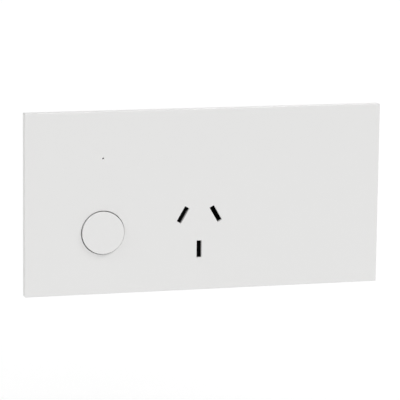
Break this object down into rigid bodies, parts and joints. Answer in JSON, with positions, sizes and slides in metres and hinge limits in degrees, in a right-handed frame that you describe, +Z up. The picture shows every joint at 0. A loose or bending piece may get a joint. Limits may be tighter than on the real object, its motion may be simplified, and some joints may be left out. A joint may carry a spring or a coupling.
{
  "type": "switched wall socket",
  "caption": "Flush wall socket outlet: wide flat white cover with one earthed flat-pin socket, a round push switch and a pinhole lamp, over a black wiring mechanism.",
  "frame": {"origin": "on the wall plane, midway between the two fixing screws", "axes": "+X to the right as a person faces the outlet, +Y into the wall along the fixing screws, +Z up; the cover's face looks towards -Y"},
  "size_m": [0.148, 0.0332, 0.074],
  "materials": {
    "cover_white": "smooth gloss",
    "button_white": "smooth gloss",
    "grid_white": "fine moulded matt",
    "housing_black": "fine moulded matt",
    "lid_black": "fine moulded matt",
    "carrier_black": "fine moulded matt",
    "shutter_black": "fine moulded matt",
    "plunger_nylon": "moulded nylon",
    "contact_brass": "rolled strip",
    "lever_bronze": "rolled spring bronze",
    "contact_silver": "plain silver",
    "clear_acrylic": "clear",
    "lamp_epoxy": "tinted epoxy",
    "board_laminate": "bare laminate",
    "resistor_lacquer": "lacquered",
    "wire_blue": "soft insulation",
    "wire_brown": "soft insulation",
    "spring_steel": "drawn wire",
    "pin_steel": "turned",
    "retainer_fibre": "pressed fibre",
    "screw_zinc": "zinc plated",
    "terminal_screw_steel": "nickel plated",
    "terminal_brass": "machined bar"
  },
  "bodies": {
    "base": {"active_contact": "contact_brass", "active_terminal": "terminal_brass", "active_terminal_screw": "terminal_screw_steel", "assembly_screw_lower_left": "screw_zinc", "assembly_screw_lower_right": "screw_zinc", "assembly_screw_upper_left": "screw_zinc", "assembly_screw_upper_right": "screw_zinc", "button_spring": "spring_steel", "contact_carrier": "carrier_black", "cover": "cover_white", "earth_contact": "contact_brass", "earth_terminal": "terminal_brass", "earth_terminal_screw": "terminal_screw_steel", "fixed_tip": "contact_silver", "fixing_screw_left": "screw_zinc", "fixing_screw_right": "screw_zinc", "lamp": "lamp_epoxy", "lamp_active_wire": "wire_brown", "lamp_board": "board_laminate", "lamp_neutral_wire": "wire_blue", "lamp_resistor": "resistor_lacquer", "lever_pin": "pin_steel", "light_pipe": "clear_acrylic", "loop_terminal": "terminal_brass", "loop_terminal_screw": "terminal_screw_steel", "mechanism_housing": "housing_black", "mounting_grid": "grid_white", "neutral_contact": "contact_brass", "neutral_terminal": "terminal_brass", "neutral_terminal_screw": "terminal_screw_steel", "rear_lid": "lid_black", "screw_retainer_left": "retainer_fibre", "screw_retainer_right": "retainer_fibre", "shutter_spring_left": "spring_steel", "shutter_spring_right": "spring_steel", "supply_bracket": "contact_brass"},
    "button": {"button_cap": "button_white", "button_plunger": "plunger_nylon"},
    "lever": {"contact_lever": "lever_bronze", "moving_tip": "contact_silver"},
    "latch": {"latch_wire": "spring_steel"},
    "shutter": {"safety_shutter": "shutter_black"}
  },
  "joints": [
    {"name": "button_press", "type": "slide", "parent": "base", "child": "button", "axis": [0, 1, 0], "range_m": [0, 0.0028], "stiffness_N_per_m": 200, "springref_m": -0.008, "deforming": ["button_spring"]},
    {"name": "contact_lever_swing", "type": "hinge", "parent": "base", "child": "lever", "pos_m": [-0.031, 0.008, -0.01015], "axis": [0, 0, -1], "range_deg": [0, 14.33]},
    {"name": "latch_swing", "type": "hinge", "parent": "base", "child": "latch", "pos_m": [-0.0433, 0.0135, -0.0175], "axis": [0, 0, 1], "range_deg": [0, 13.27]},
    {"name": "shutter_slide", "type": "slide", "parent": "base", "child": "shutter", "axis": [0, 0, -1], "range_m": [0, 0.005], "stiffness_N_per_m": 60, "springref_m": -0.006, "deforming": ["shutter_spring_left", "shutter_spring_right"]}
  ],
  "couplings": [
    {"joint": "contact_lever_swing", "follows": "button_press", "rad_per_m": 89.286}
  ]
}
